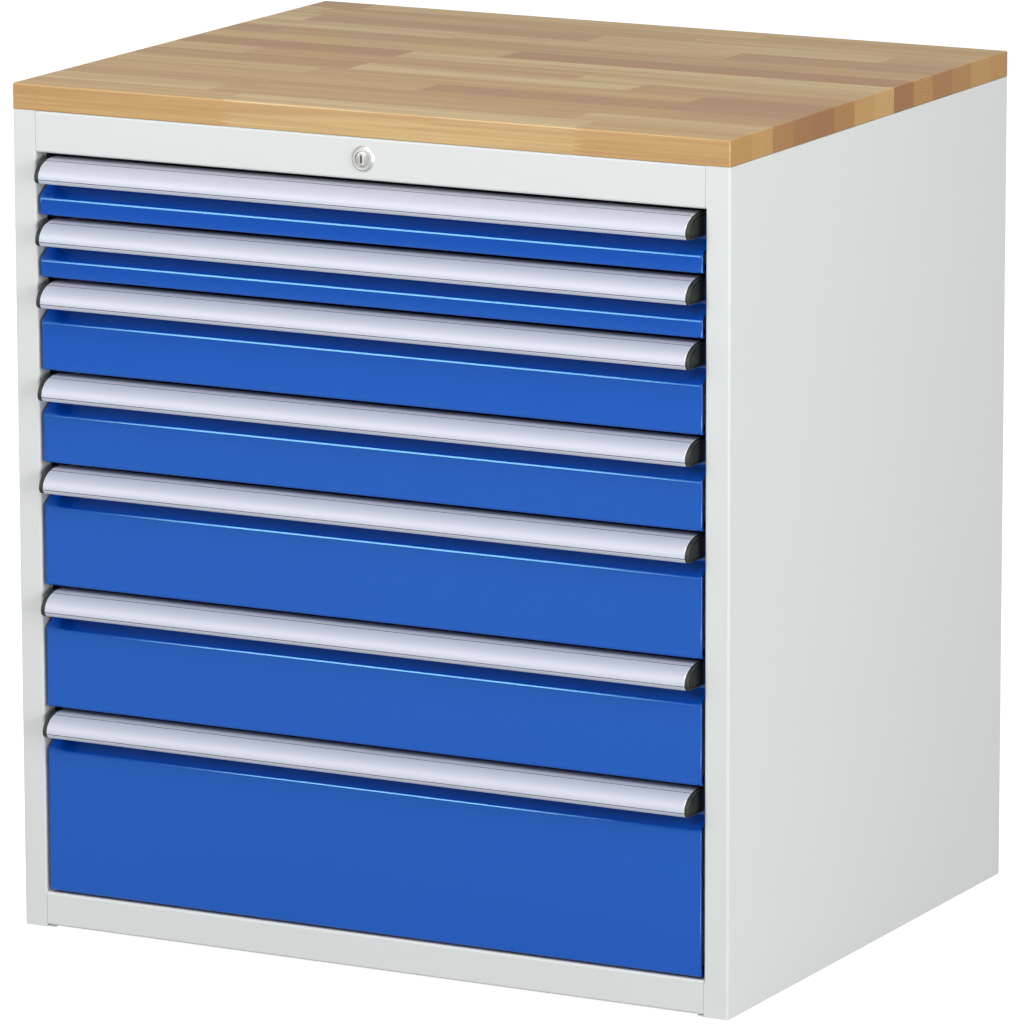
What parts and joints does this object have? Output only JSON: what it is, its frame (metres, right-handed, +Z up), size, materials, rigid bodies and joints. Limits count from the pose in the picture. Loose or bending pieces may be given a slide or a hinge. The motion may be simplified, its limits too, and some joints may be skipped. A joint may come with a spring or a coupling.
{
  "type": "heavy-duty drawer cabinet",
  "caption": "Steel workshop cabinet with a beech worktop, full-extension drawers with grip strips, and one central lock.",
  "frame": {"origin": "on the floor at the middle of the footprint, grip strips included", "axes": "+Z up, +X to the right seen from the front, +Y towards the back, drawers open towards -Y"},
  "size_m": [0.76, 0.627, 0.825],
  "materials": {
    "housing_paint": "satin powder coat",
    "front_paint": "satin powder coat",
    "tray_paint": "satin powder coat",
    "grip_aluminium": "satin anodised",
    "cap_plastic": "moulded, matt",
    "beech": "oiled",
    "chrome": "polished",
    "zinc": "zinc plated",
    "guide_plastic": "moulded, matt"
  },
  "bodies": {
    "cabinet": {"side_panel_right": "housing_paint", "side_panel_left": "housing_paint", "back_panel": "housing_paint", "floor_plate": "housing_paint", "top_plate": "housing_paint", "top_rail": "housing_paint", "bottom_rail": "housing_paint", "worktop": "beech", "uprights": "zinc", "cabinet_rails": "zinc", "lock_case": "chrome", "lock_nut": "zinc", "shaft_bracket": "zinc", "bar_guides": "guide_plastic"},
    "lock": {"lock_plug": "chrome", "lock_shaft": "zinc"},
    "bar": {"locking_bar": "zinc"},
    "drawer_1": {"drawer_1_tray": "tray_paint", "drawer_1_front": "front_paint", "drawer_1_grip": "grip_aluminium", "drawer_1_grip_caps": "cap_plastic", "drawer_1_rails": "zinc"},
    "slides_1": {"drawer_1_slides": "zinc"},
    "drawer_2": {"drawer_2_tray": "tray_paint", "drawer_2_front": "front_paint", "drawer_2_grip": "grip_aluminium", "drawer_2_grip_caps": "cap_plastic", "drawer_2_rails": "zinc"},
    "slides_2": {"drawer_2_slides": "zinc"},
    "drawer_3": {"drawer_3_tray": "tray_paint", "drawer_3_front": "front_paint", "drawer_3_grip": "grip_aluminium", "drawer_3_grip_caps": "cap_plastic", "drawer_3_rails": "zinc"},
    "slides_3": {"drawer_3_slides": "zinc"},
    "drawer_4": {"drawer_4_tray": "tray_paint", "drawer_4_front": "front_paint", "drawer_4_grip": "grip_aluminium", "drawer_4_grip_caps": "cap_plastic", "drawer_4_rails": "zinc"},
    "slides_4": {"drawer_4_slides": "zinc"},
    "drawer_5": {"drawer_5_tray": "tray_paint", "drawer_5_front": "front_paint", "drawer_5_grip": "grip_aluminium", "drawer_5_grip_caps": "cap_plastic", "drawer_5_rails": "zinc"},
    "slides_5": {"drawer_5_slides": "zinc"},
    "drawer_6": {"drawer_6_tray": "tray_paint", "drawer_6_front": "front_paint", "drawer_6_grip": "grip_aluminium", "drawer_6_grip_caps": "cap_plastic", "drawer_6_rails": "zinc"},
    "slides_6": {"drawer_6_slides": "zinc"},
    "drawer_7": {"drawer_7_tray": "tray_paint", "drawer_7_front": "front_paint", "drawer_7_grip": "grip_aluminium", "drawer_7_grip_caps": "cap_plastic", "drawer_7_rails": "zinc"},
    "slides_7": {"drawer_7_slides": "zinc"}
  },
  "joints": [
    {"name": "drawer_1_slide", "type": "slide", "parent": "cabinet", "child": "drawer_1", "axis": [0, -1, 0], "range_m": [0, 0.52]},
    {"name": "slides_1_slide", "type": "slide", "parent": "cabinet", "child": "slides_1", "axis": [0, -1, 0], "range_m": [0, 0.26]},
    {"name": "drawer_2_slide", "type": "slide", "parent": "cabinet", "child": "drawer_2", "axis": [0, -1, 0], "range_m": [0, 0.52]},
    {"name": "slides_2_slide", "type": "slide", "parent": "cabinet", "child": "slides_2", "axis": [0, -1, 0], "range_m": [0, 0.26]},
    {"name": "drawer_3_slide", "type": "slide", "parent": "cabinet", "child": "drawer_3", "axis": [0, -1, 0], "range_m": [0, 0.52]},
    {"name": "slides_3_slide", "type": "slide", "parent": "cabinet", "child": "slides_3", "axis": [0, -1, 0], "range_m": [0, 0.26]},
    {"name": "drawer_4_slide", "type": "slide", "parent": "cabinet", "child": "drawer_4", "axis": [0, -1, 0], "range_m": [0, 0.52]},
    {"name": "slides_4_slide", "type": "slide", "parent": "cabinet", "child": "slides_4", "axis": [0, -1, 0], "range_m": [0, 0.26]},
    {"name": "drawer_5_slide", "type": "slide", "parent": "cabinet", "child": "drawer_5", "axis": [0, -1, 0], "range_m": [0, 0.52]},
    {"name": "slides_5_slide", "type": "slide", "parent": "cabinet", "child": "slides_5", "axis": [0, -1, 0], "range_m": [0, 0.26]},
    {"name": "drawer_6_slide", "type": "slide", "parent": "cabinet", "child": "drawer_6", "axis": [0, -1, 0], "range_m": [0, 0.52]},
    {"name": "slides_6_slide", "type": "slide", "parent": "cabinet", "child": "slides_6", "axis": [0, -1, 0], "range_m": [0, 0.26]},
    {"name": "drawer_7_slide", "type": "slide", "parent": "cabinet", "child": "drawer_7", "axis": [0, -1, 0], "range_m": [0, 0.52]},
    {"name": "slides_7_slide", "type": "slide", "parent": "cabinet", "child": "slides_7", "axis": [0, -1, 0], "range_m": [0, 0.26]},
    {"name": "locking_bar_lift", "type": "slide", "parent": "cabinet", "child": "bar", "axis": [0, 0, 1], "range_m": [0, 0.01556]},
    {"name": "lock_turn", "type": "hinge", "parent": "cabinet", "child": "lock", "pos_m": [0, -0.2965, 0.78], "axis": [0, -1, 0], "range_deg": [0, 90]}
  ],
  "couplings": [
    {"joint": "slides_1_slide", "follows": "drawer_1_slide", "ratio": 0.5},
    {"joint": "slides_2_slide", "follows": "drawer_2_slide", "ratio": 0.5},
    {"joint": "slides_3_slide", "follows": "drawer_3_slide", "ratio": 0.5},
    {"joint": "slides_4_slide", "follows": "drawer_4_slide", "ratio": 0.5},
    {"joint": "slides_5_slide", "follows": "drawer_5_slide", "ratio": 0.5},
    {"joint": "slides_6_slide", "follows": "drawer_6_slide", "ratio": 0.5},
    {"joint": "slides_7_slide", "follows": "drawer_7_slide", "ratio": 0.5},
    {"joint": "lock_turn", "follows": "locking_bar_lift", "rad_per_m": 100.98}
  ]
}
